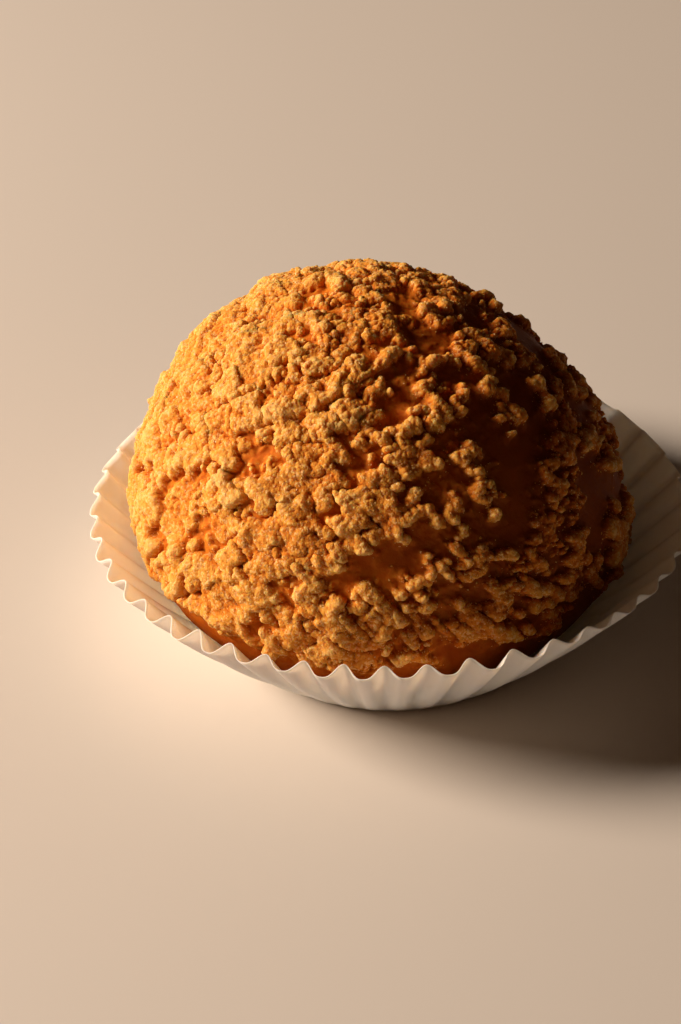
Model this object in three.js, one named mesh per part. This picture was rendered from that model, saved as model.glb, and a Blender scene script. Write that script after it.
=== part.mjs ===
// A craquelin cream puff in its pleated paper case.
// Millimetres, +Z up. The origin is the middle of the case's flat base, on the table.
// The puff is one solid: a choux dome with the broken pieces of its crust as relief.
// The case is the other: a flat round base, and a pleated wall splayed open round the puff.

import * as THREE from 'three';
import { mergeVertices } from 'three/addons/utils/BufferGeometryUtils.js';

// ---------- driving dimensions ----------

// The paper case.
const baseRadius = 26.9;
const paperThickness = 0.3;
const wallSlant = 28.1; // from base edge to rim, measured up the wall
const wallLean = 47.2; // degrees from upright, on average
const leanToBack = 8.8; // degrees more at the back (+Y), and less at the front
const leanOval = [1.4, 1.2]; // degrees, cosine and sine of twice the angle
const wallBow = 0.7; // how far the middle of the wall bulges outwards
const pleatCount = 44;
const pleatDepth = 1.15; // half of crest to trough, at the rim
const crestSharpness = 1.5; // above 1, the crests are narrower than the troughs
const pleatStart = 268; // degrees: a crest that points inwards, at the front
const pleatDrift = 4.2; // degrees: pleats are narrower on the left, and wider on the right
const widePleats = { shift: 2.4, at: 35, spread: 18 }; // degrees past pleatStart: two wider ones
const pleatUneven = 0.12; // how much their depth varies
const pleatSteps = 4; // columns of vertices in one pleat
const wallRings = [0, 0.16, 0.55, 1]; // shares of the slant where a ring of vertices lies

// The puff, measured on its choux shell, under the crust.
const restGap = 0.3; // between the case's base and the puff
const shellHalfWidth = 38.5;
const shellHalfDepth = 37.8;
const widestHeight = 19.5;
const shellTop = 56.6;
const shellBottom = paperThickness + restGap;
const shellShift = new THREE.Vector2(-1.3, 1); // it stands a little off the case's middle
const topLean = 5.2; // how far the top leans to -X
const domeFullness = 1.94; // exponents of the profile: 2 is an ellipse
const bellyFullness = 2.3;
const shellWave = 0.35; // slow unevenness of the baked shell

// The crust: a disc of dough that broke into pieces as the choux rose.
const crustThickness = 1.7;
const crustEdgeHeight = 17; // where the crust ends, above the table
const crustEdgeRise = 4.5; // how much higher it ends at the front, and lower at the back
const crustEdgeWave = 1;
const crustEdgeFade = 3; // height over which it thins out to nothing
const pieceSlope = 1.2; // width of a piece's edge, from foot to top
const raggedness = 1.1; // how far the outlines of the pieces wander
const crackMin = 0.25; // half-widths of the cracks between scattered pieces
const crackMax = 1.1;
const crustSeed = 2719;

// The scattered pieces: bars too, strewn over what the main pieces leave free.
const pieceCount = 330;
const lowestPiece = -0.35; // sine of the lowest direction, from the puff's middle, that has crust
const pieceNudge = 0.07; // how far a piece is off its place, as a share of the puff's radius
const pieceLength = 1.8; // half, at most, along each axis
const pieceReach = [2.2, 3.9]; // how far one may spread round its bar
const pieceSpare = 0.7; // how much less it spreads on the right
const thicknessRange = [0.65, 1.25]; // shares of the crust's thickness
const missingShare = [0.04, 0.34]; // of the pieces on the left and on the right

// The largest pieces of crust, as seen from the front, viewTilt degrees above the table.
// Each is a bar: where it starts and ends, to the right of and above the puff's middle, and its width.
const viewTilt = 38;
const aimSteps = 6;
const mainThickness = 2;
const mainPieces = [
  [-5, 1, -5, -5, 3.6], [-1, 3.5, 0, -3.5, 3.8], [0, -1, 3.5, -1, 2.7], // the largest, in the middle
  [3, 10.5, 3.5, 5.5, 3.4], [5.5, 8, 5, 6, 3.4], // the one above it
  [-12, 15.5, -6.5, 18, 1.5], [-5.5, 17, -5, 12, 2.1], [-4.5, 14, -1, 17, 1.8], // forked
  [-5, 19.5, -1, 21, 1.8], [-1, 22, 2.5, 23, 1.6],
  [-2.5, 11, -1, 9.5, 2.5], [-8.5, 9, -7.5, 6.5, 1.6], [-10.5, 12, -9, 11, 2.4],
  [7, 17, 6.5, 14, 3], [8, 13.5, 8.5, 11, 1.6], [5, 20.5, 9, 22, 1.9],
  [10.5, 16.5, 11, 14.5, 2.2], [12.5, 24, 13.5, 21, 2.7], [16, 19, 16.5, 16.5, 2.1],
  [18.5, 15, 18.5, 13, 2.4], [12, 9, 12, 6, 1.8], [12, 5.5, 14, 5, 1.8],
  [14, 2.5, 15.5, 0.5, 2.2], [9.5, 0.5, 10.5, -1.5, 2.1], [5, -0.5, 6.5, -1, 2.4],
  [11, -5.5, 11, -7.5, 2.2], [13, -9.5, 17, -7, 2.4],
  [5, -11, 7.5, -9.5, 2.1], [4.5, -12, 5.5, -15.5, 2.2], [8.5, -9, 9.5, -11, 1.8],
  [-5, -14, -2, -13.5, 1.9], [-0.5, -14.5, 0, -16.5, 3.7], [-11.5, -10, -11.5, -14.5, 2.7],
  [12.5, -17, 18, -19, 4.4], [-5.5, -18.5, -2.5, -21, 2.7],
  [24, 20, 24, 16, 1.8], [21, -11, 26, -12.5, 2.7], [22, -7, 22.5, -9, 2.1],
];
const bareMiddle = [6.5, 4.5]; // round here the main pieces lie alone, on bare choux
const bareReach = [16, 20];

const facesPerEdge = 22; // subdivisions of the sphere that becomes the puff
const topCrowding = 0.42; // gathers its vertices under the crust

// ---------- helpers ----------

// Park and Miller's generator, so that the same seed always bakes the same crust.
function seededRandom(seed) {
  let state = seed;
  return () => {
    state = (state * 16807) % 2147483647;
    return state / 2147483647;
  };
}

const radians = THREE.MathUtils.degToRad;
const { lerp, smoothstep } = THREE.MathUtils;

function meshOf(name, geometry, material) {
  const mesh = new THREE.Mesh(geometry, material);
  mesh.name = name;
  return mesh;
}

// ---------- the puff ----------

const puffMiddle = new THREE.Vector3(shellShift.x, shellShift.y, widestHeight);

// Slow swells and dents, as no choux bun rises evenly.
function shellSwell({ x, y, z }) {
  const swell = Math.sin(3.1 * x + 1.7 * y + 0.4) + Math.sin(2.3 * y - 2.9 * z + 2.1);
  return shellWave * (swell + 0.6 * Math.sin(4.7 * x - 3.9 * y + 2.2 * z));
}

// The smooth shell in a direction from the puff's middle.
function shellPoint(direction) {
  const rising = direction.z > 0;
  const power = rising ? domeFullness : bellyFullness;
  const reach = rising ? shellTop - widestHeight : widestHeight;
  const across = Math.hypot(direction.x / shellHalfWidth, direction.y / shellHalfDepth);
  const along = Math.abs(direction.z) / reach;
  const radius = (across ** power + along ** power) ** (-1 / power);
  const swell = shellSwell(direction) * smoothstep(direction.z, -0.3, 0.2);
  const point = direction.clone().multiplyScalar(radius + swell);
  if (rising) point.x -= topLean * (point.z / reach) ** 1.5;
  return point.add(puffMiddle);
}

// How far above the puff's middle a point is seen from the front.
function seenUp(offset) {
  return offset.y * Math.sin(radians(viewTilt)) + offset.z * Math.cos(radians(viewTilt));
}

// The point of the shell that is seen at a place to the right of and above the puff's middle.
// It aims at a round ball first, and corrects the aim by what it misses.
function seenPoint(right, up) {
  const tilt = radians(viewTilt);
  const aim = new THREE.Vector2(right, up);
  let point;
  for (let i = 0; i < aimSteps; i++) {
    const depth = Math.sqrt(shellHalfWidth ** 2 - aim.lengthSq());
    point = shellPoint(new THREE.Vector3(
      aim.x,
      aim.y * Math.sin(tilt) - depth * Math.cos(tilt),
      aim.y * Math.cos(tilt) + depth * Math.sin(tilt),
    ).normalize());
    const offset = point.clone().sub(puffMiddle);
    aim.x += right - offset.x;
    aim.y += up - seenUp(offset);
  }
  return point;
}

const bars = mainPieces.map(([startRight, startUp, endRight, endUp, width]) => ({
  line: new THREE.Line3(seenPoint(startRight, startUp), seenPoint(endRight, endUp)),
  halfWidth: width / 2,
}));

const nearestOnLine = new THREE.Vector3();

function distanceToLine(point, line) {
  line.closestPointToPoint(point, true, nearestOnLine);
  return nearestOnLine.distanceTo(point);
}

// How far a point lies inside the main pieces, negative outside.
function insideBars(point) {
  return Math.max(...bars.map((bar) => bar.halfWidth - distanceToLine(point, bar.line)));
}

// Whether a point lies where no pieces are scattered.
function isBareGround(point) {
  const tilt = radians(viewTilt);
  const offset = point.clone().sub(puffMiddle);
  const towardsViewer = offset.z * Math.sin(tilt) - offset.y * Math.cos(tilt);
  const away = Math.hypot(
    (offset.x - bareMiddle[0]) / bareReach[0],
    (seenUp(offset) - bareMiddle[1]) / bareReach[1],
  );
  return towardsViewer > 0 && away < 1;
}

// The other pieces lie on a spiral down the dome, each nudged off its place.
// They are larger and closer together on the left (-X) than on the right.
function scatterPieces() {
  const random = seededRandom(crustSeed);
  const signed = () => 2 * random() - 1;
  const randomVector = (size) => new THREE.Vector3(signed(), signed(), signed()).multiplyScalar(size);
  const goldenAngle = Math.PI * (3 - Math.sqrt(5));
  const pieces = [];
  for (let i = 0; i < pieceCount; i++) {
    const height = 1 - ((1 - lowestPiece) * (i + 0.5)) / pieceCount;
    const ring = Math.sqrt(1 - height * height);
    const turn = i * goldenAngle;
    const onSpiral = new THREE.Vector3(ring * Math.cos(turn), ring * Math.sin(turn), height);
    const direction = onSpiral.add(randomVector(pieceNudge)).normalize();
    const middle = shellPoint(direction);
    const rightSide = smoothstep(direction.x, -0.45, 0.55); // 0 on the left, 1 on the right
    const halfBar = randomVector(pieceLength);
    const piece = {
      line: new THREE.Line3(middle.clone().sub(halfBar), middle.clone().add(halfBar)),
      reach: lerp(...pieceReach, random()) - pieceSpare * rightSide,
      crack: lerp(crackMin, crackMax, random() * lerp(0.3, 1, rightSide)),
      thickness: crustThickness * lerp(...thicknessRange, random()),
    };
    const missing = random() < lerp(...missingShare, rightSide);
    if (!missing && !isBareGround(middle)) pieces.push(piece);
  }
  return pieces;
}

const scattered = scatterPieces();

// Moves a point a little, by waves about 4 mm long, so that the pieces get ragged outlines.
function ragged({ x, y, z }) {
  return new THREE.Vector3(
    x + raggedness * Math.sin(0.61 * x + 0.93 * y + 1.17 * z),
    y + raggedness * Math.sin(-0.87 * x + 0.71 * y + 1.03 * z),
    z + raggedness * Math.sin(1.11 * x - 0.67 * y + 0.79 * z),
  );
}

// How far the crust stands above the shell at a point of the shell.
function crustHeight(point) {
  const moved = ragged(point);
  const insideBar = insideBars(moved);
  let nearest = null;
  let first = Infinity;
  let second = Infinity;
  for (const piece of scattered) {
    const distance = distanceToLine(moved, piece.line);
    if (distance < first) {
      second = first;
      first = distance;
      nearest = piece;
    } else if (distance < second) {
      second = distance;
    }
  }
  const toCrack = (second - first) / 2 - nearest.crack;
  const insidePiece = Math.min(toCrack, nearest.reach - first, -insideBar - crackMin);
  const rise = (inside) => smoothstep(inside, -pieceSlope / 2, pieceSlope / 2);
  const around = Math.atan2(point.y - puffMiddle.y, point.x - puffMiddle.x);
  const edgeWave = crustEdgeWave * Math.sin(5 * around + 1);
  const edge = crustEdgeHeight - crustEdgeRise * Math.sin(around) + edgeWave;
  const height = Math.max(mainThickness * rise(insideBar), nearest.thickness * rise(insidePiece));
  return height * smoothstep(point.z, edge - crustEdgeFade / 2, edge + crustEdgeFade / 2);
}

function puffGeometry() {
  const sphere = new THREE.IcosahedronGeometry(1, facesPerEdge);
  sphere.deleteAttribute('normal');
  sphere.deleteAttribute('uv');
  const geometry = mergeVertices(sphere, 1e-5);
  const position = geometry.getAttribute('position');
  const direction = new THREE.Vector3();
  for (let i = 0; i < position.count; i++) {
    direction.fromBufferAttribute(position, i).normalize();
    direction.z += topCrowding;
    direction.normalize();
    const point = shellPoint(direction);
    point.addScaledVector(direction, crustHeight(point));
    point.z = Math.max(point.z, shellBottom); // the flat patch that it was baked on
    position.setXYZ(i, point.x, point.y, point.z);
  }
  geometry.computeVertexNormals();
  return geometry;
}

// ---------- the paper case ----------

// The angle at which a column of vertices stands, as the pleats aren't spaced evenly.
// Its turn is measured from pleatStart, and runs from -180 to 180 degrees.
function columnAngle(turn) {
  const drift = pleatDrift * (1 - Math.cos(radians(turn)));
  const widened = widePleats.shift * Math.exp(-(((turn - widePleats.at) / widePleats.spread) ** 2));
  return radians(pleatStart + turn + drift + widened);
}

// A point of the wall, given the column of the pleats, its share of the slant and the face of the paper.
function wallPoint(column, share, inside) {
  const turn = (360 * column) / (pleatCount * pleatSteps) - 180;
  const angle = columnAngle(turn);
  const lean = radians(
    wallLean + leanToBack * Math.sin(angle)
    + leanOval[0] * Math.cos(2 * angle) + leanOval[1] * Math.sin(2 * angle),
  );
  const uneven = 1 + pleatUneven * (Math.sin(5 * angle + 0.7) + Math.sin(11 * angle + 1.9));
  const crest = ((1 + Math.cos(radians(pleatCount * turn))) / 2) ** crestSharpness;
  const pleat = pleatDepth * uneven * (1 - 2 * crest);
  const along = wallSlant * share;
  const bow = wallBow * Math.sin(Math.PI * share);
  const out = pleat * share ** 0.8 + bow - (inside ? paperThickness : 0);
  const radius = baseRadius + along * Math.sin(lean) + out * Math.cos(lean);
  const rise = along * Math.cos(lean) - out * Math.sin(lean);
  const flat = inside ? paperThickness : 0;
  return [radius * Math.cos(angle), radius * Math.sin(angle), share === 0 ? flat : rise];
}

// Rings of vertices go up the outside, over the rim and down the inside, and two fans close the base.
function caseGeometry() {
  const columns = pleatCount * pleatSteps;
  const rings = [
    ...wallRings.map((share) => ({ share, inside: false })),
    ...wallRings.map((share) => ({ share, inside: true })).reverse(),
  ];
  const points = [];
  for (const { share, inside } of rings) {
    for (let column = 0; column < columns; column++) {
      points.push(...wallPoint(column, share, inside));
    }
  }
  const below = rings.length * columns; // middle of the base, underneath and on top
  const above = below + 1;
  points.push(0, 0, 0, 0, 0, paperThickness);

  const faces = [];
  for (let column = 0; column < columns; column++) {
    const next = (column + 1) % columns;
    faces.push(below, next, column);
    for (let ring = 0; ring < rings.length - 1; ring++) {
      const [a, b] = [ring * columns + column, ring * columns + next];
      const [c, d] = [a + columns, b + columns];
      faces.push(a, b, d, a, d, c);
    }
    const last = (rings.length - 1) * columns;
    faces.push(above, last + column, last + next);
  }

  const geometry = new THREE.BufferGeometry();
  geometry.setAttribute('position', new THREE.Float32BufferAttribute(points, 3));
  geometry.setIndex(faces);
  geometry.computeVertexNormals();
  return geometry;
}

// ---------- the part ----------

const bakedCrust = new THREE.MeshStandardMaterial({ color: 0xc98a45, roughness: 0.75, metalness: 0 });
const whitePaper = new THREE.MeshStandardMaterial({ color: 0xf1ebe2, roughness: 0.85, metalness: 0 });

const puffInCase = new THREE.Group();
puffInCase.add(meshOf('cream_puff', puffGeometry(), bakedCrust));
puffInCase.add(meshOf('paper_case', caseGeometry(), whitePaper));

export default puffInCase;
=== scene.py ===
import itertools
import math

import bpy
import numpy as np
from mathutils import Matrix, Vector, noise


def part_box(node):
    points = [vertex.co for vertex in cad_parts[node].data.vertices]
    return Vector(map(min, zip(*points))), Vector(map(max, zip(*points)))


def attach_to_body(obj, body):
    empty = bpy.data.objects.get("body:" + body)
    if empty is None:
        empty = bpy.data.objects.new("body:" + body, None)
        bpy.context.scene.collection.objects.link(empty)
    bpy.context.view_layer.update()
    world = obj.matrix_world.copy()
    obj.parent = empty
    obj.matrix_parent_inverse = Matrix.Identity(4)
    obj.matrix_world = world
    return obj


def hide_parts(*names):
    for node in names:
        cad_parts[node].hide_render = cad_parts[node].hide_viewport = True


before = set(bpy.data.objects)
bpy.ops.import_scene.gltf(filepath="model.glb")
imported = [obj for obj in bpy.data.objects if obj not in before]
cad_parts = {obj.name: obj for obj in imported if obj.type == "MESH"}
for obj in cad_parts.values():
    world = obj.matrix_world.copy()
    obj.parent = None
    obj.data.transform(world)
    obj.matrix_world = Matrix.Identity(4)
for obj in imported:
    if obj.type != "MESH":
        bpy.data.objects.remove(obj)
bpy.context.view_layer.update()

# A craquelin cream puff in its pleated paper case. Sizes in the dictionaries are millimetres
# and degrees, and turn into metres where a mesh is made. Scales of textures are per metre, and
# power is in watts. +X is right in the picture, +Y away.
mm = 0.001
scene = bpy.context.scene

puffShell = {
    "halfWidth": 38.5,
    "halfDepth": 37.8,
    "widestHeight": 19.5,
    "top": 56.6,
    "shift": (-1.3, 1.0),      # it stands a little off the case's middle
    "topLean": 5.2,
    "domeFullness": 1.94,      # exponents of the profile: 2 is an ellipse
    "bellyFullness": 2.3,
    "wave": 0.35,              # slow unevenness of the baked shell
    "dimples": (0.16, 4.5),    # depth and size of the soft unevenness of its skin
    "wrinkles": (0.05, 1.6),
    "creaseDepth": 0.55,
    "creaseWidth": 0.8,
    "creases": [(9.6, -19.0, 10.0, -23.5), (-19.5, -20.5, -18.5, -23.0), (1.0, -22.0, -0.5, -24.5)],
    "skinHeights": (4, 10),    # over which the skin's unevenness sets in
}

# Where the crust has broken, the same as in the solids. Pairs with no note are least and most.
crust = {
    "seed": 2719,
    "count": 330,
    "lowest": -0.35,
    "nudge": 0.07,
    "length": 1.8,
    "reach": (2.2, 3.9),
    "spare": 0.7,              # how much less the pieces on the right reach
    "crackMin": 0.25,
    "crackMax": 1.1,
    "thickness": 1.6,
    "mainThickness": 1.75,
    "thicknessRange": (0.65, 1.25),
    "missing": (0.04, 0.34),   # share of pieces left out, on the left and on the right
    "bareMiddle": (6.5, 4.5),  # the ground at the front where only the largest pieces are
    "bareReach": (16.0, 20.0),
    "viewTilt": 38.0,
    "ragged": 1.1,             # how far the outlines wander
    "edgeHeight": 15.5,        # where it ends above the floor
    "edgeRise": 2.5,           # how much higher it ends at the front
    "edgeWave": 1.0,
    "edgeBays": (2.2, 4.5),    # depth and size
}

# Its finer shape. A pair or a row of pairs with no other note is height and size.
crumble = {
    "segments": 220,           # squares along each side of the cube that becomes the surface
    "topCrowding": 0.42,
    "spread": 0.12,            # how far the pieces widen, and the largest ones before that
    "mainSpread": 0.35,
    "outlines": ((0.45, 2.1), (0.42, 1.05), (0.48, 0.58)),
    "joined": 0.6,             # how far the pieces on the left have closed up
    "joinedFrom": (-18, 12),   # from here to there, right of the middle
    "joinedUneven": (1.6, 5.0),
    "edgeShare": 0.68,         # of a piece's thickness, at its edge
    "edgeReach": 1.2,
    "slope": 0.6,              # width of a piece's broken side
    "leastHeight": 0.25,
    "relief": ((0.85, 3.8), (0.34, 1.7), (0.22, 0.8), (0.2, 0.45)),
    "reliefBend": (0.5, 1.5),
    "dusting": 0.55,           # height of the fine crumbs that lie beside the pieces
    "dustSize": 1.2,
    "dustShare": 0.4,
    "dustReach": (-2.6, -0.1),
    "dustHeights": (9, 15),
    "dustRoughness": 0.6,
    "overhang": 0.16,
    "raised": (0.1, 1.1),      # heights over which the sides lean out and the grains grow
    "grains": (0.24, 0.55),
    "grainBend": (0.2, 0.4),
    "grainSizes": (0.55, 1.25),
    "merging": 4.0,            # the higher, the sharper the clefts between grains
    "hollowRounds": 60,
    "bendSeed": 7,
}

# How pale the crust is: 0 is deep brown and 1 is sugary.
tones = {
    "base": 0.23,
    # painted shade: paler with the crust's height and on its grains' tops, deeper in its hollows
    "height": 0.18,
    "hollowShade": 0.45,
    "grain": 0.3,
    "patches": (0.16, 2.7),
    "toneShift": 0.39,          # painted shade: how much darker the right side is painted, the side away from the light
    "toneShiftFrom": (-22, 30),
}

# Where its edges, its tops and its sandy colour are, for grains and looks.
marks = {
    "edgeWidth": 0.7,
    "edgeHeights": (0.0, 0.4),
    "topHeights": (0.5, 1.2),
    "crumb": (-0.4, 0.1),
}

# The largest pieces, seen from the front: start and end, right of and above the middle, and width.
mainPieces = [
    (-5, 1, -5, -5, 3.6), (-1, 3.5, 0, -3.5, 3.8), (0, -1, 3.5, -1, 2.7),
    (3, 10.5, 3.5, 5.5, 3.4), (5.5, 8, 5, 6, 3.4),
    (-12, 15.5, -6.5, 18, 1.5), (-5.5, 17, -5, 12, 2.1), (-4.5, 14, -1, 17, 1.8),
    (-5, 19.5, -1, 21, 1.8), (-1, 22, 2.5, 23, 1.6),
    (-2.5, 11, -1, 9.5, 2.5), (-8.5, 9, -7.5, 6.5, 1.6), (-10.5, 12, -9, 11, 2.4),
    (7, 17, 6.5, 14, 3), (8, 13.5, 8.5, 11, 1.6), (5, 20.5, 9, 22, 1.9),
    (10.5, 16.5, 11, 14.5, 2.2), (12.5, 24, 13.5, 21, 2.7), (16, 19, 16.5, 16.5, 2.1),
    (18.5, 15, 18.5, 13, 2.4), (12, 9, 12, 6, 1.8), (12, 5.5, 14, 5, 1.8),
    (14, 2.5, 15.5, 0.5, 2.2), (9.5, 0.5, 10.5, -1.5, 2.1), (5, -0.5, 6.5, -1, 2.4),
    (11, -5.5, 11, -7.5, 2.2), (13, -9.5, 17, -7, 2.4),
    (5, -11, 7.5, -9.5, 2.1), (4.5, -12, 5.5, -15.5, 2.2), (8.5, -9, 9.5, -11, 1.8),
    (-5, -14, -2, -13.5, 1.9), (-0.5, -14.5, 0, -16.5, 3.7), (-11.5, -10, -11.5, -14.5, 2.7),
    (12.5, -17, 18, -19, 4.4), (-5.5, -18.5, -2.5, -21, 2.7),
    (24, 20, 24, 16, 1.8), (21, -11, 26, -12.5, 2.7), (22, -7, 22.5, -9, 2.1),
]

puffMiddle = np.array([*puffShell["shift"], puffShell["widestHeight"]])
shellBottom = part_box("cream_puff")[0].z / mm
cellMixer = np.array([
    [127.1, 269.5, 419.2, 91.7],
    [311.7, 183.3, 371.9, 57.3],
    [74.7, 246.1, 113.5, 229.9],
])
noise.seed_set(crumble["bendSeed"])      # noise_vector would go by the clock without it


def smoothstep(value, low, high):
    share = np.clip((value - low) / (high - low), 0.0, 1.0)
    return share * share * (3.0 - 2.0 * share)


def mixed(low, high, share):
    return low + (high - low) * share


def unit(vectors):
    return vectors / np.linalg.norm(vectors, axis=-1, keepdims=True)


def seededRandom(seed):
    # the same generator as the solids use, so that the crust breaks in the same places
    state = seed
    while True:
        state = (state * 16807) % 2147483647
        yield state / 2147483647


def noiseAt(points, size, offset=0.0):
    # smooth noise from about -1 to 1, with lumps of this size
    shift = Vector((offset, 2 * offset, -offset))
    return np.array([noise.noise(Vector(point) / size + shift) for point in points.tolist()])


def shellPoints(directions):
    # the smooth shell in each direction from the puff's middle
    x, y, z = directions.T
    rising = z > 0
    power = np.where(rising, puffShell["domeFullness"], puffShell["bellyFullness"])
    domeReach = puffShell["top"] - puffShell["widestHeight"]
    reach = np.where(rising, domeReach, puffShell["widestHeight"])
    across = np.hypot(x / puffShell["halfWidth"], y / puffShell["halfDepth"])
    radius = (across ** power + (np.abs(z) / reach) ** power) ** (-1 / power)
    # the slow waves are the solids' own
    swell = np.sin(3.1 * x + 1.7 * y + 0.4) + np.sin(2.3 * y - 2.9 * z + 2.1)
    swell = puffShell["wave"] * (swell + 0.6 * np.sin(4.7 * x - 3.9 * y + 2.2 * z))
    points = directions * (radius + swell * smoothstep(z, -0.3, 0.2))[:, None]
    points[:, 0] -= puffShell["topLean"] * (np.maximum(points[:, 2], 0) / domeReach) ** 1.5
    return points + puffMiddle


def seenUp(offset):
    tilt = math.radians(crust["viewTilt"])
    return offset[1] * math.sin(tilt) + offset[2] * math.cos(tilt)


def seenPoint(right, up):
    # the point of the shell that is seen here: it aims at a round ball, and corrects the aim
    tilt = math.radians(crust["viewTilt"])
    aimRight, aimUp = right, up
    for attempt in range(6):
        depth = math.sqrt(puffShell["halfWidth"] ** 2 - aimRight ** 2 - aimUp ** 2)
        aim = np.array([aimRight, aimUp * math.sin(tilt) - depth * math.cos(tilt),
                        aimUp * math.cos(tilt) + depth * math.sin(tilt)])
        point = shellPoints(unit(aim)[None])[0]
        offset = point - puffMiddle
        aimRight += right - offset[0]
        aimUp += up - seenUp(offset)
    return point


def isBareGround(point):
    tilt = math.radians(crust["viewTilt"])
    offset = point - puffMiddle
    towardsViewer = offset[2] * math.sin(tilt) - offset[1] * math.cos(tilt)
    right = (offset[0] - crust["bareMiddle"][0]) / crust["bareReach"][0]
    up = (seenUp(offset) - crust["bareMiddle"][1]) / crust["bareReach"][1]
    return towardsViewer > 0 and math.hypot(right, up) < 1


def scatterPieces():
    # bars on a spiral down the dome: start, end, reach, crack and thickness of each
    draw = seededRandom(crust["seed"])
    goldenAngle = math.pi * (3 - math.sqrt(5))
    rows = []
    for index in range(crust["count"]):
        height = 1 - (1 - crust["lowest"]) * (index + 0.5) / crust["count"]
        ring = math.sqrt(1 - height * height)
        turn = index * goldenAngle
        nudge = np.array([2 * next(draw) - 1 for axis in range(3)]) * crust["nudge"]
        direction = unit(np.array([ring * math.cos(turn), ring * math.sin(turn), height]) + nudge)
        middle = shellPoints(direction[None])[0]
        rightSide = float(smoothstep(direction[0], -0.45, 0.55))
        halfBar = np.array([2 * next(draw) - 1 for axis in range(3)]) * crust["length"]
        reach = mixed(*crust["reach"], next(draw)) - crust["spare"] * rightSide
        crack = mixed(crust["crackMin"], crust["crackMax"], next(draw) * mixed(0.3, 1, rightSide))
        thickness = crust["thickness"] * mixed(*crust["thicknessRange"], next(draw))
        missing = next(draw) < mixed(*crust["missing"], rightSide)
        if not missing and not isBareGround(middle):
            rows.append((*(middle - halfBar), *(middle + halfBar), reach, crack, thickness))
    return np.array(rows)


def seenBars(bars):
    return np.array([(*seenPoint(startRight, startUp), *seenPoint(endRight, endUp))
                     for startRight, startUp, endRight, endUp, *width in bars])


def distanceToBars(points, bars):
    starts = bars[:, 0:3]
    along = bars[:, 3:6] - starts
    offset = points[:, None] - starts[None]
    share = np.einsum("ijk,jk->ij", offset, along) / np.einsum("jk,jk->j", along, along)
    offset -= np.clip(share, 0, 1)[..., None] * along[None]
    return np.linalg.norm(offset, axis=2)


def insideCrust(points):
    # how far each point of the shell lies inside a piece of crust, and how thick that piece is
    x, y, z = points.T
    moved = points + crust["ragged"] * np.stack([
        np.sin(0.61 * x + 0.93 * y + 1.17 * z),
        np.sin(-0.87 * x + 0.71 * y + 1.03 * z),
        np.sin(1.11 * x - 0.67 * y + 0.79 * z)], axis=1)
    bars = seenBars(mainPieces)
    halfWidths = np.array([piece[4] / 2 for piece in mainPieces])
    scattered = scatterPieces()
    inside = np.empty(len(points))
    thickness = np.empty(len(points))
    for part in np.array_split(np.arange(len(points)), max(len(points) // 4000, 1)):
        insideBars = (halfWidths - distanceToBars(moved[part], bars)).max(axis=1) + crumble["mainSpread"]
        distance = distanceToBars(moved[part], scattered)
        nearest = np.argmin(distance, axis=1)
        first, second = np.partition(distance, 1, axis=1)[:, :2].T
        toCrack = (second - first) / 2 - scattered[nearest, 7]
        toReach = scattered[nearest, 6] - first
        insidePieces = np.minimum(np.minimum(toCrack, toReach), -insideBars - crust["crackMin"])
        inside[part] = np.maximum(insideBars, insidePieces)
        isMain = insideBars > insidePieces
        thickness[part] = np.where(isMain, crust["mainThickness"], scattered[nearest, 8])

    inside += crumble["spread"]
    for depth, size in crumble["outlines"]:
        inside += depth * noiseAt(points, size, size)
    leftSide = 1 - smoothstep(x - puffMiddle[0], *crumble["joinedFrom"])
    depth, size = crumble["joinedUneven"]
    inside += leftSide * crumble["joined"] * (1 + depth * noiseAt(points, size, 3.0))
    around = np.arctan2(y - puffMiddle[1], x - puffMiddle[0])
    edge = crust["edgeHeight"] - crust["edgeRise"] * np.sin(around)
    depth, size = crust["edgeBays"]
    edge += crust["edgeWave"] * np.sin(5 * around + 1) + depth * noiseAt(points, size, 9.0)
    return np.minimum(inside, z - edge), thickness


def cubeSphere(segments, crowding):
    # squares on a cube's six sides, blown up to a ball of directions, closer together at the top
    side = segments + 1
    first, second = np.meshgrid(np.arange(side), np.arange(side), indexing="ij")
    squares = []
    for axis in range(3):
        for end in (0, segments):
            corner = [None, None, None]
            corner[axis] = np.full_like(first, end)
            corner[(axis + 1) % 3] = first
            corner[(axis + 2) % 3] = second
            key = corner[0] + side * (corner[1] + side * corner[2])
            loop = [key[:-1, :-1], key[1:, :-1], key[1:, 1:], key[:-1, 1:]]
            squares.append(np.stack(loop if end else loop[::-1], axis=-1).reshape(-1, 4))
    keys, faces = np.unique(np.concatenate(squares), return_inverse=True)
    corners = np.stack([keys % side, keys // side % side, keys // side ** 2], axis=1)
    directions = unit(np.tan((2 * corners / segments - 1) * math.pi / 4))
    directions[:, 2] += crowding
    return unit(directions), faces.reshape(-1, 4)


def keepFaces(faces, keep):
    # the kept faces renumbered, and the vertices that they use
    used, renumbered = np.unique(faces[keep], return_inverse=True)
    return used, renumbered.reshape(-1, 4)


def rimEdges(faces):
    # edges that only one face has, in that face's direction
    starts = faces.ravel()
    ends = np.roll(faces, -1, axis=1).ravel()
    count = faces.max() + 1
    alone = ~np.isin(starts * count + ends, ends * count + starts)
    return starts[alone], ends[alone]


def vertexNormals(points, faces):
    first, second, third, fourth = points[faces.T]
    crossed = np.cross(third - first, fourth - second)
    total = np.stack([np.bincount(faces.ravel(), np.repeat(crossed[:, axis], 4), len(points))
                      for axis in range(3)], axis=1)
    return total / np.maximum(np.linalg.norm(total, axis=1, keepdims=True), 1e-9)


def softened(values, faces, rounds):
    # each value drawn towards its neighbours', again and again
    starts, ends = faces.ravel(), np.roll(faces, -1, axis=1).ravel()
    links = np.maximum(np.bincount(starts, minlength=len(values)), 1)
    for turn in range(rounds):
        values = (values + np.bincount(starts, values[ends], len(values)) / links) / 2
    return values


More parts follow.
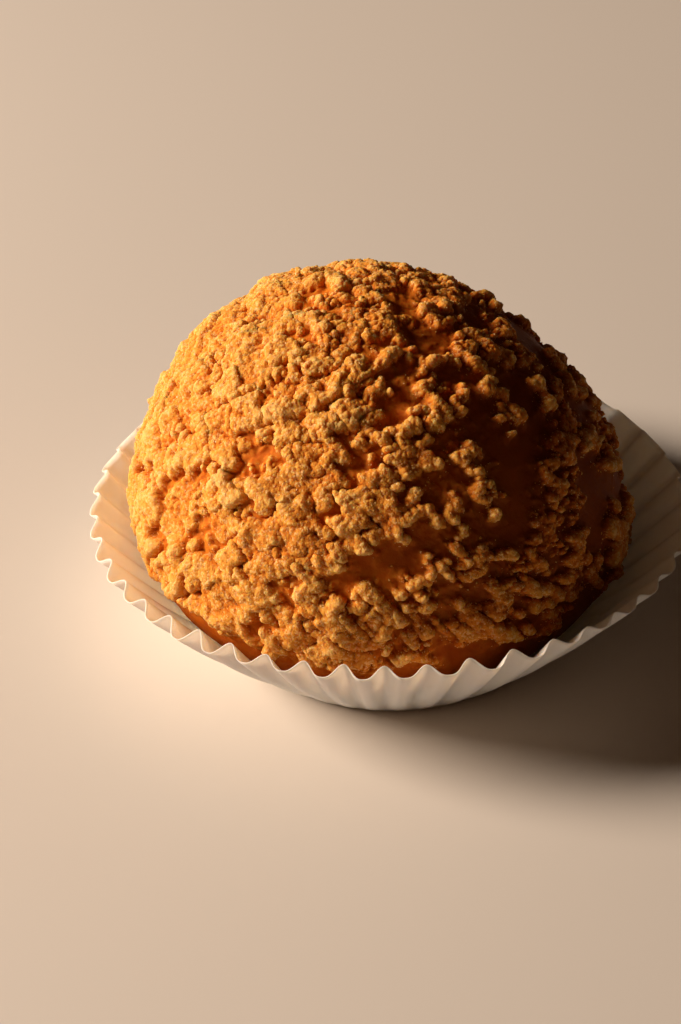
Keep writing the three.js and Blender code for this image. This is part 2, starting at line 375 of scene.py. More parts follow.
def makeMesh(name, points, faces, attributes):
    mesh = bpy.data.meshes.new(name)
    mesh.from_pydata((points * mm).tolist(), [], faces)
    for label, values in attributes.items():
        attribute = mesh.attributes.new(label, "FLOAT", "POINT")
        attribute.data.foreach_set("value", values.astype(np.float32))
    mesh.shade_smooth()
    return mesh


def newPiece(mesh):
    piece = bpy.data.objects.new(mesh.name, mesh)
    scene.collection.objects.link(piece)
    return piece


def skinHeight(points):
    # the choux's own skin: soft dimples, fine wrinkles and a few creases near the case
    height = np.zeros(len(points))
    for offset, unevenness in enumerate(("dimples", "wrinkles"), 1):
        depth, size = puffShell[unevenness]
        height += depth * noiseAt(points, size, offset)
    toCrease = distanceToBars(points, seenBars(puffShell["creases"])).min(axis=1)
    height -= puffShell["creaseDepth"] * np.exp(-(toCrease / puffShell["creaseWidth"]) ** 2)
    return height * smoothstep(points[:, 2], *puffShell["skinHeights"])


def softLumps(points, size, seed):
    # domes of uneven size that run into each other: about 0 between them and 1 on top
    shares = points / size
    cells = np.floor(shares)
    total = np.zeros(len(points))
    for shift in itertools.product((-1, 0, 1), repeat=3):
        cell = cells + shift
        chances = np.sin(cell @ cellMixer + seed) * 43758.5453
        chances -= np.floor(chances)
        away = ((shares - cell - chances[:, :3]) ** 2).sum(axis=1)
        reach = mixed(*crumble["grainSizes"], chances[:, 3])
        total += np.exp(crumble["merging"] * (1 - away / reach ** 2))
    return np.log(total) / crumble["merging"]


def bent(points, distance, size):
    # points moved about a little, so that what is drawn at them loses its regular shape
    moves = [noise.noise_vector(Vector(point) / size) for point in points.tolist()]
    return points + distance * np.array(moves)


def reliefHeight(shell, inside, thickness):
    # how high the crust stands: fine crumbs beside the pieces, and the pieces' uneven tops
    body = thickness * mixed(crumble["edgeShare"], 1.0, smoothstep(inside, 0, crumble["edgeReach"]))
    warped = bent(shell, *crumble["reliefBend"])
    for height, size in crumble["relief"]:
        body += height * noiseAt(warped, size, 2 * size)
    near = smoothstep(inside, *crumble["dustReach"]) * smoothstep(shell[:, 2], *crumble["dustHeights"])
    uneven = np.maximum(crumble["dustShare"] + noiseAt(shell, crumble["dustSize"], 12.0), 0)
    dust = crumble["dusting"] * near * uneven
    rise = smoothstep(inside, -crumble["slope"] / 2, crumble["slope"] / 2)
    return mixed(dust, np.maximum(body, crumble["leastHeight"]), rise), near, rise


def puffSurface():
    # the whole outer face: the choux with its skin, and the pieces of crust that stand on it
    directions, faces = cubeSphere(crumble["segments"], crumble["topCrowding"])
    shell = shellPoints(directions)
    inside, thickness = insideCrust(shell)
    height, near, rise = reliefHeight(shell, inside, thickness)
    points = shell + directions * (height + skinHeight(shell))[:, None]

    # broken sides lean out over the choux, and grains stand on them as on the top
    sideways = vertexNormals(points, faces)
    sideways -= directions * np.einsum("ij,ij->i", sideways, directions)[:, None]
    raised = smoothstep(height, *crumble["raised"])
    points += sideways * (crumble["overhang"] * raised)[:, None]
    rough = np.maximum(raised, crumble["dustRoughness"] * near)
    grainHeight, grainSize = crumble["grains"]
    grain = softLumps(bent(points, *crumble["grainBend"]), grainSize, 6.0) - 0.5
    points += vertexNormals(points, faces) * (grainHeight * rough * grain)[:, None]
    points[:, 2] = np.maximum(points[:, 2], shellBottom)

    # painted shade: the tone deeper in hollows and between the grains, paler on the tops
    hollowShade = softened(height, faces, crumble["hollowRounds"]) - height
    # painted shade: the crust's tone darker towards the right, the side away from the light
    paintedShade = smoothstep(shell[:, 0] - puffMiddle[0], *tones["toneShiftFrom"])
    patchDepth, patchSize = tones["patches"]
    tone = tones["base"] + tones["height"] * height - tones["hollowShade"] * hollowShade + tones["grain"] * grain
    tone += patchDepth * noiseAt(shell, patchSize, 4.0)
    tone -= tones["toneShift"] * paintedShade
    return {
        "points": points,
        "faces": faces,
        "direction": directions,
        "edges": np.exp(-(np.maximum(inside, 0) / marks["edgeWidth"]) ** 2)
        * smoothstep(height, *marks["edgeHeights"]),
        "tops": smoothstep(height, *marks["topHeights"]),
        "beside": near * (1 - rise),
        "attributes": {
            "tone": np.clip(tone, 0, 1),
            "crumb": smoothstep(inside, *marks["crumb"]),
            "nearCrust": near,
            "paintedShade": paintedShade,
        },
    }


def makePuffMeshes(surface):
    # the surface in three parts like a cake, each closed by walls to the puff's middle
    normals = vertexNormals(surface["points"], surface["faces"])
    middles = surface["direction"][surface["faces"]].mean(axis=1)
    turn = np.degrees(np.arctan2(middles[:, 1], middles[:, 0]))
    third = ((turn + 180) % 360 // 120).astype(int)
    meshes = []
    for number, name in enumerate(("puffFront", "puffRight", "puffBack")):
        used, faces = keepFaces(surface["faces"], third == number)
        starts, ends = rimEdges(faces)
        walls = np.stack([ends, starts, np.full_like(starts, len(used))], axis=1)
        points = np.concatenate([surface["points"][used], puffMiddle[None]])
        attributes = {label: np.append(values[used], 0)
                      for label, values in surface["attributes"].items()}
        mesh = makeMesh(name, points, faces.tolist() + walls.tolist(), attributes)
        mesh.normals_split_custom_set_from_vertices([*normals[used].tolist(), (0, 0, 1)])
        print("made", name, 2 * len(faces) + len(walls), "triangles")
        meshes.append(mesh)
    return meshes


class Field:
    # a node's output that can be reckoned with, so that formulas read as formulas
    def __init__(self, tree, socket):
        self.tree = tree
        self.socket = socket

    def reckon(self, operation, *others):
        node = self.tree.nodes.new("ShaderNodeMath")
        node.operation = operation
        for socket, value in zip(node.inputs, (self, *others)):
            setInput(self.tree, socket, value)
        return Field(self.tree, node.outputs[0])

    def __add__(self, other):
        return self.reckon("ADD", other)

    def __sub__(self, other):
        return self.reckon("SUBTRACT", other)

    def __mul__(self, other):
        return self.reckon("MULTIPLY", other)

    def __truediv__(self, other):
        return self.reckon("DIVIDE", other)

    def __pow__(self, other):
        return self.reckon("POWER", other)

    def atLeast(self, other):
        return self.reckon("MAXIMUM", other)

    def atMost(self, other):
        return self.reckon("MINIMUM", other)

    def sin(self):
        return self.reckon("SINE")

    def cos(self):
        return self.reckon("COSINE")


def setInput(tree, socket, value):
    if isinstance(value, Field):
        value = value.socket
    if isinstance(value, bpy.types.NodeSocket):
        tree.links.new(value, socket)
    else:
        socket.default_value = value


def addNode(tree, kind, inputs=None, **settings):
    node = tree.nodes.new(kind)
    for name, value in settings.items():
        setattr(node, name, value)
    for name, value in (inputs or {}).items():
        setInput(tree, node.inputs[name], value)
    return node


def newTree(name, kind, inputs, outputs):
    # a node group with named inputs and outputs, and its two end nodes
    tree = bpy.data.node_groups.new(name, kind)
    for label, (socketType, value) in inputs.items():
        socket = tree.interface.new_socket(name=label, in_out="INPUT", socket_type=socketType)
        if value is not None:
            socket.default_value = value
    for label, socketType in outputs.items():
        tree.interface.new_socket(name=label, in_out="OUTPUT", socket_type=socketType)
    start = tree.nodes.new("NodeGroupInput")
    end = tree.nodes.new("NodeGroupOutput")
    given = {label: Field(tree, start.outputs[label]) for label in inputs}
    return tree, given, end


def bakeTree(piece, tree, values):
    # sets the tree's inputs by identifier, and turns what it makes into a plain mesh
    modifier = piece.modifiers.new(tree.name, "NODES")
    modifier.node_group = tree
    for item in tree.interface.items_tree:
        if item.in_out == "INPUT" and item.name in values:
            modifier[item.identifier] = values[item.name]
    evaluated = piece.evaluated_get(bpy.context.evaluated_depsgraph_get())
    mesh = bpy.data.meshes.new_from_object(evaluated)
    piece.modifiers.remove(modifier)
    return mesh


doughColours = {
    "deep": (0.32, 0.056, 0.003),
    "golden": (0.65, 0.200, 0.016),
    "pale": (0.74, 0.345, 0.056),
    "sugary": (0.82, 0.480, 0.140),
    "sugarGrain": (0.90, 0.62, 0.27),
    "choux": (0.62, 0.150, 0.007),
    "chouxDark": (0.38, 0.070, 0.003),
    "chouxGold": (0.70, 0.225, 0.018),
    # painted shade for the choux's right side
    "chouxPaintedShade": (0.17, 0.026, 0.002),
}


sandLooks = {
    "clouds": 0.45,            # how many to a grain
    "speckle": 0.55,           # how much the clouds and the patches change the tone
    "drift": 0.5,
    "patches": 150.0,
    "golden": 0.35,            # tones that have these colours
    "pale": 0.7,
    "sugaring": 1.6,           # how early sugar shows as the tone gets paler
    "sugarCover": 0.55,
    "cloudHeight": 1.2,
}


def craquelinGroup():
    # the colour of the crust from its tone, with sugar grains on it, and a sandy height for a bump
    looks = sandLooks
    tree, given, end = newTree("craquelinGrain", "ShaderNodeTree", {
        "Tone": ("NodeSocketFloat", 0.5),
        "Sugar": ("NodeSocketFloat", 0.25),
        "Grains per metre": ("NodeSocketFloat", 2600.0),
    }, {"Colour": "NodeSocketColor", "Height": "NodeSocketFloat", "Sparkle": "NodeSocketFloat"})
    place = addNode(tree, "ShaderNodeTexCoord").outputs["Object"]
    cells = addNode(tree, "ShaderNodeTexVoronoi", {"Vector": place, "Scale": given["Grains per metre"]})
    clouds = addNode(tree, "ShaderNodeTexNoise", {
        "Vector": place, "Scale": given["Grains per metre"] * looks["clouds"],
        "Detail": 4.0, "Roughness": 0.6})
    patches = addNode(tree, "ShaderNodeTexNoise", {
        "Vector": place, "Scale": looks["patches"], "Detail": 2.0})
    chance = addNode(tree, "ShaderNodeSeparateColor", {"Color": cells.outputs["Color"]})
    cloud = Field(tree, clouds.outputs["Fac"])
    speckle = (cloud - 0.5) * looks["speckle"]
    drift = (Field(tree, patches.outputs["Fac"]) - 0.5) * looks["drift"]
    ramp = addNode(tree, "ShaderNodeValToRGB", {"Fac": given["Tone"] + speckle + drift})
    stops = ramp.color_ramp.elements
    stops[0].position, stops[0].color = 0.0, (*doughColours["deep"], 1)
    stops[1].position, stops[1].color = 1.0, (*doughColours["sugary"], 1)
    for name in ("golden", "pale"):
        stops.new(looks[name]).color = (*doughColours[name], 1)
    isSugar = Field(tree, chance.outputs["Red"]).reckon("LESS_THAN", given["Sugar"])
    sparkle = isSugar * (given["Tone"] * looks["sugaring"]).atMost(1.0)
    sugared = sparkle * looks["sugarCover"]
    colour = mixColours(tree, sugared, ramp.outputs["Color"], doughColours["sugarGrain"])
    height = cloud * looks["cloudHeight"] - Field(tree, cells.outputs["Distance"])
    setInput(tree, end.inputs["Colour"], colour)
    setInput(tree, end.inputs["Height"], height)
    setInput(tree, end.inputs["Sparkle"], sparkle)
    return tree


def startMaterial(name, **values):
    # a Principled surface, with constants on its own sockets
    material = bpy.data.materials.new(name)
    material.use_nodes = True
    surface = material.node_tree.nodes["Principled BSDF"]
    for label, value in values.items():
        surface.inputs[label.replace("_", " ")].default_value = value
    return material, material.node_tree, surface


def attributeField(tree, name):
    return Field(tree, addNode(tree, "ShaderNodeAttribute", attribute_name=name).outputs["Fac"])


def mixColours(tree, share, first, second):
    node = addNode(tree, "ShaderNodeMix", data_type="RGBA")
    setInput(tree, node.inputs[0], share)
    for socket, colour in ((node.inputs[6], first), (node.inputs[7], second)):
        setInput(tree, socket, (*colour, 1) if isinstance(colour, tuple) else colour)
    return node.outputs[2]


def addBump(tree, surface, height, strength, distance):
    bump = addNode(tree, "ShaderNodeBump", {
        "Strength": strength, "Distance": distance, "Height": height})
    setInput(tree, surface.inputs["Normal"], bump.outputs["Normal"])


def addGrain(tree, group, sugar, grains):
    # the crust's node group, and the roughness that goes with its sparkle
    grain = addNode(tree, "ShaderNodeGroup", node_tree=group)
    setInput(tree, grain.inputs["Tone"], attributeField(tree, "tone"))
    grain.inputs["Sugar"].default_value = sugar
    grain.inputs["Grains per metre"].default_value = grains
    return grain, Field(tree, grain.outputs["Sparkle"]) * -0.4 + 0.75


def grainMaterial(group, grains):
    material, tree, surface = startMaterial(
        grains["finish"], Specular_IOR_Level=0.35, Subsurface_Weight=0.3,
        Subsurface_Radius=(1.0, 0.5, 0.25), Subsurface_Scale=0.0003)
    grain, roughness = addGrain(tree, group, grains["sugar"], grains["grainsPerMetre"])
    setInput(tree, surface.inputs["Base Color"], grain.outputs["Colour"])
    setInput(tree, surface.inputs["Roughness"], roughness)
    addBump(tree, surface, grain.outputs["Height"], 0.5, 0.0002)
    return material


puffLooks = {
    "sugar": 0.22,             # share of the crust's grains that sparkle
    "grainsPerMetre": 2600.0,
    "brownPatches": 2.2,       # contrast of the choux's browning
    "dustCover": 2.4,          # how much of the choux beside the pieces fine crumbs colour
    # painted shade on the choux's right side: where it starts and how strong it is
    "paintedShadeFrom": 0.35,
    "paintedShadeGain": 1.2,
    "raggedCrumb": 1.2,        # how unevenly the crust's colour ends
    "skinRelief": 1.5,
    "bump": 0.43,
    "bumpDepth": 0.00045,      # metres
}


def puffMaterial(group):
    # the smooth baked choux, and the sandy crust where the "crumb" attribute says so
    looks = puffLooks
    material, tree, surface = startMaterial(
        "bakedPuff", Specular_IOR_Level=0.1, Subsurface_Weight=0.7,
        Subsurface_Radius=(1.0, 0.55, 0.3), Subsurface_Scale=0.0014)
    grain, crumbRoughness = addGrain(tree, group, looks["sugar"], looks["grainsPerMetre"])
    place = addNode(tree, "ShaderNodeTexCoord").outputs["Object"]
    patches = addNode(tree, "ShaderNodeTexNoise", {"Vector": place, "Scale": 120.0, "Detail": 4.0})
    pores = addNode(tree, "ShaderNodeTexNoise", {
        "Vector": place, "Scale": 1100.0, "Detail": 5.0, "Roughness": 0.65})
    pore = Field(tree, pores.outputs["Fac"])

    toneShift = (Field(tree, patches.outputs["Fac"]) - 0.5) * looks["brownPatches"] + 0.5
    skin = mixColours(tree, toneShift, doughColours["chouxDark"], doughColours["choux"])
    dusted = attributeField(tree, "nearCrust") * (pore * looks["dustCover"] - 0.6)
    skin = mixColours(tree, dusted, skin, doughColours["chouxGold"])
    # painted shade: the choux darker towards the right, the side away from the light
    paintedShade = (attributeField(tree, "paintedShade") - looks["paintedShadeFrom"]).atLeast(0.0)
    skin = mixColours(tree, paintedShade * looks["paintedShadeGain"], skin, doughColours["chouxPaintedShade"])
    crumb = attributeField(tree, "crumb") + (pore - 0.5) * looks["raggedCrumb"]
    crumb = crumb.atLeast(0.0).atMost(1.0)
    colour = mixColours(tree, crumb, skin, grain.outputs["Colour"])
    setInput(tree, surface.inputs["Base Color"], colour)

    skinRoughness = pore * 0.4 + 0.5
    roughness = skinRoughness + (crumbRoughness - skinRoughness) * crumb
    setInput(tree, surface.inputs["Roughness"], roughness)
    skinRelief = pore * looks["skinRelief"]
    height = skinRelief + (Field(tree, grain.outputs["Height"]) - skinRelief) * crumb
    addBump(tree, surface, height, looks["bump"], looks["bumpDepth"])
    return material


paperColours = {"shaded": (0.90, 0.80, 0.69), "white": (0.98, 0.91, 0.82)}


def paperMaterial():
    material, tree, surface = startMaterial(
        "whiteCasePaper", Roughness=0.7, Specular_IOR_Level=0.3, Subsurface_Weight=0.85,
        Subsurface_Radius=(1.0, 0.8, 0.6), Subsurface_Scale=0.0009)
    place = addNode(tree, "ShaderNodeTexCoord").outputs["Object"]
    fibres = addNode(tree, "ShaderNodeTexNoise", {
        "Vector": place, "Scale": 1300.0, "Detail": 5.0, "Roughness": 0.7})
    clouds = addNode(tree, "ShaderNodeTexNoise", {"Vector": place, "Scale": 90.0, "Detail": 3.0})
    shade = Field(tree, fibres.outputs["Fac"]) * 0.5 + Field(tree, clouds.outputs["Fac"]) * 0.5
    paper = mixColours(tree, shade, paperColours["shaded"], paperColours["white"])
    setInput(tree, surface.inputs["Base Color"], paper)
    # the fine creases run up the wall, many round it and hardly changing along it
    onSheet = addNode(tree, "ShaderNodeAttribute", attribute_name="onSheet").outputs["Vector"]
    stretched = addNode(tree, "ShaderNodeVectorMath", {
        0: onSheet, 1: (210.0, 1.1, 1.0)}, operation="MULTIPLY")
    creases = addNode(tree, "ShaderNodeTexNoise", {
        "Vector": stretched.outputs[0], "Scale": 1.0, "Detail": 2.5})
    relief = Field(tree, creases.outputs["Fac"]) * 2.4 + Field(tree, fibres.outputs["Fac"]) * 0.3
    addBump(tree, surface, relief, 0.55, 0.0004)
    return material


# Crumbs and sugar, strewn by geometry nodes. Sizes are across a grain, and sunk is a share of it.
# Edges, tops and beside say how thick they lie on a piece's edge, on its top and next to it.
looseCrumbs = {
    "count": 1500, "smallest": 0.35, "largest": 0.8, "sunk": 0.35, "jagged": 0.4,
    "roundness": 1, "isCrystal": False, "tones": 0.6, "seed": 11,
    "edges": 0.3, "tops": 0.0, "beside": 0.8,
    "finish": "looseCrumb", "sugar": 0.2, "grainsPerMetre": 3200.0,
}
sugarGrains = {
    "count": 15500, "smallest": 0.15, "largest": 0.33, "sunk": 0.3, "jagged": 0.3,
    "isCrystal": True, "tones": 0.85, "seed": 29,
    "edges": 0.4, "tops": 0.6, "beside": 0.0,
    "finish": "sugarGrain", "sugar": 0.9, "grainsPerMetre": 1500.0,
}


def strewTree():
    # grains on a surface, thicker where its "where" attribute is high, each broken its own way
    number, whole = "NodeSocketFloat", "NodeSocketInt"
    tree, given, end = newTree("strewGrains", "GeometryNodeTree", {
        "Surface": ("NodeSocketGeometry", None), "perSquareMetre": (number, 1e6),
        "smallest": (number, 0.3), "largest": (number, 1.0), "sunk": (number, 0.2),
        "jagged": (number, 0.5), "roundness": (whole, 1), "isCrystal": ("NodeSocketBool", False),
        "tones": (number, 0.6), "seed": (whole, 1),
        "material": ("NodeSocketMaterial", None),
    }, {"Grains": "NodeSocketGeometry"})
    where = addNode(tree, "GeometryNodeInputNamedAttribute", {"Name": "where"}, data_type="FLOAT")
    strewn = addNode(tree, "GeometryNodeDistributePointsOnFaces", {
        "Mesh": given["Surface"], "Seed": given["seed"],
        "Density": Field(tree, where.outputs[0]) * given["perSquareMetre"]})
    size = addNode(tree, "FunctionNodeRandomValue", {
        2: given["smallest"] * mm, 3: given["largest"] * mm, "Seed": given["seed"] + 1.0})
    size = Field(tree, size.outputs[1])
    down = addNode(tree, "ShaderNodeVectorMath", {
        0: strewn.outputs["Normal"], "Scale": size * given["sunk"] * -1.0}, operation="SCALE")
    placed = addNode(tree, "GeometryNodeSetPosition", {
        "Geometry": strewn.outputs["Points"], "Offset": down.outputs[0]})
    turn = addNode(tree, "FunctionNodeRandomValue", {
        1: (6.283, 6.283, 6.283), "Seed": given["seed"] + 2.0}, data_type="FLOAT_VECTOR")
    shape = addNode(tree, "FunctionNodeRandomValue", {
        0: (0.6, 0.6, 0.6), 1: (1.3, 1.3, 1.3), "Seed": given["seed"] + 3.0}, data_type="FLOAT_VECTOR")
    scale = addNode(tree, "ShaderNodeVectorMath", {
        0: shape.outputs[0], "Scale": size}, operation="SCALE")
    crumb = addNode(tree, "GeometryNodeMeshIcoSphere", {
        "Radius": 0.5, "Subdivisions": given["roundness"]})
    crystal = addNode(tree, "GeometryNodeMeshCube", {"Size": (0.75, 0.75, 0.75)})
    grain = addNode(tree, "GeometryNodeSwitch", {
        "Switch": given["isCrystal"], "False": crumb.outputs["Mesh"], "True": crystal.outputs["Mesh"]},
        input_type="GEOMETRY")
    copies = addNode(tree, "GeometryNodeInstanceOnPoints", {
        "Points": placed.outputs[0], "Instance": grain.outputs[0],
        "Rotation": turn.outputs[0], "Scale": scale.outputs[0]})
    tone = addNode(tree, "FunctionNodeRandomValue", {
        2: given["tones"] - 0.25, 3: given["tones"] + 0.25, "Seed": given["seed"] + 4.0})
    toned = addNode(tree, "GeometryNodeStoreNamedAttribute", {
        "Geometry": copies.outputs[0], "Name": "tone", "Value": tone.outputs[1]},
        data_type="FLOAT", domain="INSTANCE")
    sized = addNode(tree, "GeometryNodeStoreNamedAttribute", {
        "Geometry": toned.outputs[0], "Name": "size", "Value": size},
        data_type="FLOAT", domain="INSTANCE")
    loose = addNode(tree, "GeometryNodeRealizeInstances", {"Geometry": sized.outputs[0]})
    ownSize = addNode(tree, "GeometryNodeInputNamedAttribute", {"Name": "size"}, data_type="FLOAT")
    place = addNode(tree, "GeometryNodeInputPosition").outputs[0]
    chips = addNode(tree, "ShaderNodeTexNoise", {"Vector": place, "Scale": 2600.0, "Detail": 1.0})
    aside = addNode(tree, "ShaderNodeVectorMath", {
        0: chips.outputs["Color"], 1: (0.5, 0.5, 0.5)}, operation="SUBTRACT")
    chipped = Field(tree, ownSize.outputs[0]) * given["jagged"] * 2.0
    chip = addNode(tree, "ShaderNodeVectorMath", {
        0: aside.outputs[0], "Scale": chipped}, operation="SCALE")
    broken = addNode(tree, "GeometryNodeSetPosition", {
        "Geometry": loose.outputs[0], "Offset": chip.outputs[0]})
    painted = addNode(tree, "GeometryNodeSetMaterial", {
        "Geometry": broken.outputs[0], "Material": given["material"]})
    setInput(tree, end.inputs["Grains"], painted.outputs[0])
    return tree


def strewGrains(name, tree, ground, surface, grains, material):
    # as many grains as asked for, shared out over the ground by the surface's marks
    mesh = ground.data
    where = sum(grains[mark] * surface[mark] for mark in ("edges", "tops", "beside"))
    weights = np.clip(where, 0, 1).astype(np.float32)
    attribute = mesh.attributes.get("where") or mesh.attributes.new("where", "FLOAT", "POINT")
    attribute.data.foreach_set("value", weights)
    areas = np.empty(len(mesh.polygons))
    mesh.polygons.foreach_get("area", areas)
    corners = np.empty(len(mesh.loops), dtype=np.int32)
    mesh.loops.foreach_get("vertex_index", corners)
    weighted = (areas * weights[corners].reshape(-1, 4).mean(axis=1)).sum()
    density = grains["count"] / weighted
    made = bakeTree(ground, tree, {**grains, "perSquareMetre": density, "material": material})
    made.name = name
    isSmooth = not grains["isCrystal"]
    made.polygons.foreach_set("use_smooth", np.full(len(made.polygons), isSmooth))
    print("strewed", name, len(made.polygons), "faces")
    return newPiece(made)


paperCase = {
    "baseRadius": 26.9,
    "slant": 28.1,           # from base edge to rim, measured up the wall
    "lean": 47.2,            # from upright
    "leanToBack": 8.8,       # how much more at the back, and less at the front
    "leanCosine": 1.4,       # twice round the case
    "leanSine": 1.2,
    "bow": 0.7,
    "pleats": 44.0,
    "pleatDepth": 1.15,      # above and below the middle
    "pleatOpening": 0.8,     # exponent: how early up the wall the pleats open
    "crestSharpness": 1.5,
    "pleatStart": 268.0,
    "drift": 4.2,            # slow change of the pleats' spacing round the case
    "wideShift": 2.4,        # and a few wider ones
    "wideAt": 35.0,
    "wideSpread": 18.0,
    "uneven": 0.12,
    "shallower": 0.45,       # by how much, about the direction where it lies flatter
    "shallowAt": 52.0,
    "shallowSpread": 28.0,
    "baseShare": 0.2,        # of the rings, those that lie flat
    "columns": 44 * 18 + 1,
    "rings": 34,
}
paperThickness = 0.16


def caseTree():
    # a grid bent into a flat base and a pleated wall; its seam and its middle are welded
    inputs = {label: ("NodeSocketInt" if isinstance(value, int) else "NodeSocketFloat", value)
              for label, value in paperCase.items()}
    inputs["material"] = ("NodeSocketMaterial", None)
    tree, given, end = newTree(
        "pleatedPaper", "GeometryNodeTree", inputs, {"Case": "NodeSocketGeometry"})
    grid = addNode(tree, "GeometryNodeMeshGrid", {
        "Size X": 1.0, "Size Y": 1.0, "Vertices X": given["columns"], "Vertices Y": given["rings"]})
    place = addNode(tree, "GeometryNodeInputPosition").outputs[0]
    corner = addNode(tree, "ShaderNodeSeparateXYZ", {0: place})
    across = Field(tree, corner.outputs["X"])
    upward = Field(tree, corner.outputs["Y"]) + 0.5
    degree = math.pi / 180

    turn = across * 360.0
    drift = given["drift"] * ((turn * degree).cos() * -1.0 + 1.0)
    fromWide = (turn - given["wideAt"]) / given["wideSpread"]
    widened = given["wideShift"] * (fromWide ** 2.0 * -1.0).reckon("EXPONENT")
    angle = (given["pleatStart"] + turn + drift + widened) * degree
    lean = given["lean"] + given["leanToBack"] * angle.sin()
    lean = lean + given["leanCosine"] * (angle * 2.0).cos() + given["leanSine"] * (angle * 2.0).sin()
    lean = lean * degree
    uneven = given["uneven"] * ((angle * 5.0 + 0.7).sin() + (angle * 11.0 + 1.9).sin()) + 1.0
    crest = ((turn * given["pleats"] * degree).cos() + 1.0) * 0.5
    crest = crest.atLeast(0.0) ** given["crestSharpness"]
    share = ((upward - given["baseShare"]) / (given["baseShare"] * -1.0 + 1.0)).atLeast(0.0)
    fromShallow = (turn - given["shallowAt"]) / given["shallowSpread"]
    flatter = given["shallower"] * (fromShallow ** 2.0 * -1.0).reckon("EXPONENT") * -1.0 + 1.0
    pleat = given["pleatDepth"] * uneven * flatter * (crest * -2.0 + 1.0)
    along = given["slant"] * share
    out = pleat * share ** given["pleatOpening"] + given["bow"] * (share * math.pi).sin()
    flat = (upward / given["baseShare"]).atMost(1.0)
    radius = given["baseRadius"] * flat + along * lean.sin() + out * lean.cos()
    height = (along * lean.cos() - out * lean.sin()).atLeast(0.0) + paperThickness / 2
    folded = addNode(tree, "ShaderNodeCombineXYZ", {
        "X": radius * angle.cos() * mm, "Y": radius * angle.sin() * mm, "Z": height * mm})
    wall = addNode(tree, "GeometryNodeSetPosition", {
        "Geometry": grid.outputs["Mesh"], "Position": folded.outputs[0]})
    welded = addNode(tree, "GeometryNodeMergeByDistance", {
        "Geometry": wall.outputs[0], "Distance": 1e-6})
    real = addNode(tree, "GeometryNodeRealizeInstances", {"Geometry": welded.outputs[0]})
    onSheet = addNode(tree, "ShaderNodeCombineXYZ", {"X": across, "Y": share})
    marked = addNode(tree, "GeometryNodeStoreNamedAttribute", {
        "Geometry": real.outputs[0], "Name": "onSheet", "Value": onSheet.outputs[0]},
        data_type="FLOAT_VECTOR", domain="POINT")
    painted = addNode(tree, "GeometryNodeSetMaterial", {
        "Geometry": marked.outputs[0], "Material": given["material"]})
    setInput(tree, end.inputs["Case"], painted.outputs[0])
    return tree


def makeCase(material):
    holder = newPiece(bpy.data.meshes.new("caseHolder"))
    sheet = bakeTree(holder, caseTree(), {**paperCase, "material": material})
    bpy.data.objects.remove(holder)
    sheet.name = "pleatedCase"
    case = newPiece(sheet)
    wall = case.modifiers.new("paperThickness", "SOLIDIFY")
    wall.thickness = paperThickness * mm
    wall.offset = 0.0
    evaluated = case.evaluated_get(bpy.context.evaluated_depsgraph_get())
    case.data = bpy.data.meshes.new_from_object(evaluated)
    case.modifiers.clear()
    case.data.shade_smooth()
    return case


def attach(piece, replaced=None, material=None):
    if material:
        piece.data.materials.clear()
        piece.data.materials.append(material)
    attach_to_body(piece, "root")
    if replaced:
        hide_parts(replaced)


view = {
    "tilt": 38.0,                          # degrees that the camera looks down
    "place": (-8.1, -432.1, 356.6),
    "lens": 119.46,                        # on a 36 mm sensor, along the picture's height
}

lights = {
    "key": {
        "place": (-986, 56, 551), "size": 460, "power": 22.3, "colour": (1.0, 0.78, 0.60)},
    "fill": {
        "place": (-330, -520, 380), "size": 700, "power": 0.15, "colour": (1.0, 0.50, 0.24)},
}
lightAim = (0, 0, 25)
sky = {"colour": (1.0, 0.50, 0.24), "strength": 0.018}
floor = {"reach": 3000.0, "darker": (0.70, 0.68, 0.655), "paler": (0.74, 0.72, 0.69)}


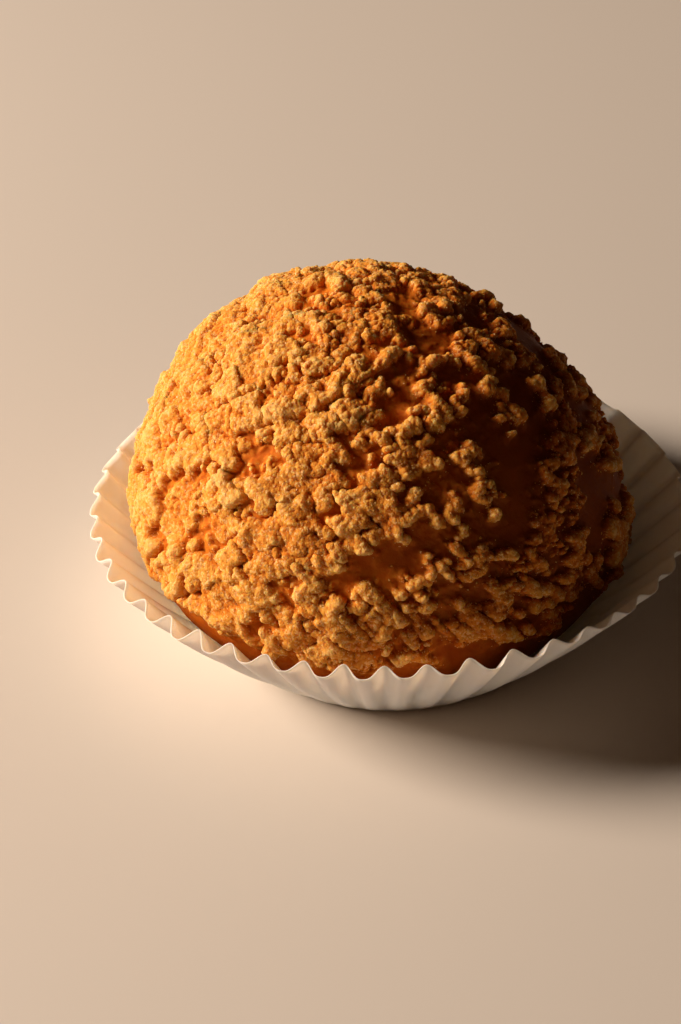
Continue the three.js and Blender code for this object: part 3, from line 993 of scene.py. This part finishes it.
def addFloor():
    corners = np.array([(-1, -1, 0), (1, -1, 0), (1, 1, 0), (-1, 1, 0)]) * floor["reach"]
    mesh = makeMesh("paleFloor", corners, [(0, 1, 2, 3)], {})
    material, tree, surface = startMaterial("paleFloorFinish", Roughness=0.55)
    place = addNode(tree, "ShaderNodeTexCoord").outputs["Object"]
    clouds = addNode(tree, "ShaderNodeTexNoise", {"Vector": place, "Scale": 4.0})
    colour = mixColours(tree, clouds.outputs["Fac"], floor["darker"], floor["paler"])
    setInput(tree, surface.inputs["Base Color"], colour)
    mesh.materials.append(material)
    newPiece(mesh)


def addLight(name, settings):
    lamp = bpy.data.lights.new(name, "AREA")
    lamp.shape = "DISK"
    lamp.size = settings["size"] * mm
    lamp.energy = settings["power"]
    lamp.color = settings["colour"]
    light = bpy.data.objects.new(name, lamp)
    light.location = Vector(settings["place"]) * mm
    aim = Vector(lightAim) * mm - light.location
    light.rotation_euler = aim.to_track_quat("-Z", "Y").to_euler()
    scene.collection.objects.link(light)


def addSky():
    world = bpy.data.worlds.new("softSky")
    world.use_nodes = True
    background = world.node_tree.nodes["Background"]
    background.inputs["Color"].default_value = (*sky["colour"], 1.0)
    background.inputs["Strength"].default_value = sky["strength"]
    scene.world = world


def addCamera():
    camera = bpy.data.objects.new("camera", bpy.data.cameras.new("camera"))
    camera.location = Vector(view["place"]) * mm
    camera.rotation_euler = (math.radians(90 - view["tilt"]), 0, 0)
    camera.data.sensor_width = 36.0
    camera.data.lens = view["lens"]
    camera.data.clip_start = 0.01
    scene.collection.objects.link(camera)
    scene.camera = camera


scene.view_settings.view_transform = "Standard"
craquelin = craquelinGroup()

puff = puffSurface()
puffFinish = puffMaterial(craquelin)
for mesh in makePuffMeshes(puff):
    attach(newPiece(mesh), "cream_puff", puffFinish)

strew = strewTree()
crustGround = newPiece(makeMesh("crustGround", puff["points"], puff["faces"].tolist(), {}))
for name, grains in (("looseCrumbs", looseCrumbs), ("sugarGrains", sugarGrains)):
    finish = grainMaterial(craquelin, grains)
    piece = strewGrains(name, strew, crustGround, puff, grains, finish)
    attach(piece)
bpy.data.objects.remove(crustGround)

case = makeCase(paperMaterial())
attach(case, "paper_case")
print("made the paper case", len(case.data.polygons), "faces")

addFloor()
for name, settings in lights.items():
    addLight(name, settings)
addSky()
addCamera()
print("set the floor, the light and the camera")
